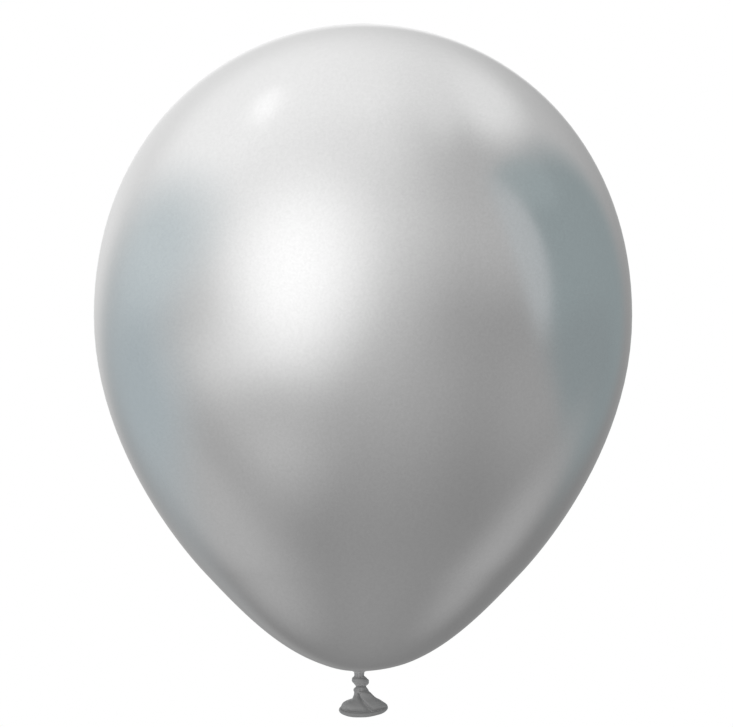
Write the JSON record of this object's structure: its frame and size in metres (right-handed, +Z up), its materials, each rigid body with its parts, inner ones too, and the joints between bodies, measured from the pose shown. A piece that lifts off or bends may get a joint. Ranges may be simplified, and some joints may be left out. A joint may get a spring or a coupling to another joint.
{
  "type": "chrome latex balloon",
  "caption": "Tied party balloon of silver chrome latex, inflated to a teardrop, with its gathered neck, knot, flared tail and rolled mouth bead.",
  "frame": {"origin": "the pinch between the knot and the tail, where a ribbon or clip goes round it, on the vertical axis of the blown-up envelope", "axes": "+Z up from the pinch to the crown, +X to the right and -Y towards the viewer of the picture"},
  "size_m": [0.3, 0.3, 0.3859],
  "materials": {
    "chrome_film": "stretched latex film full of silver metallic pigment, a soft satin mirror",
    "gathered_film": "the same latex unstretched and twisted, darker and nearly matt",
    "rolled_bead": "the same latex rolled up at the mouth, dark grey and nearly matt"
  },
  "bodies": {
    "root": {"envelope": "chrome_film", "neck": "gathered_film", "knot": "gathered_film", "collar": "gathered_film", "tail": "gathered_film", "mouth_bead": "rolled_bead"}
  },
  "joints": []
}
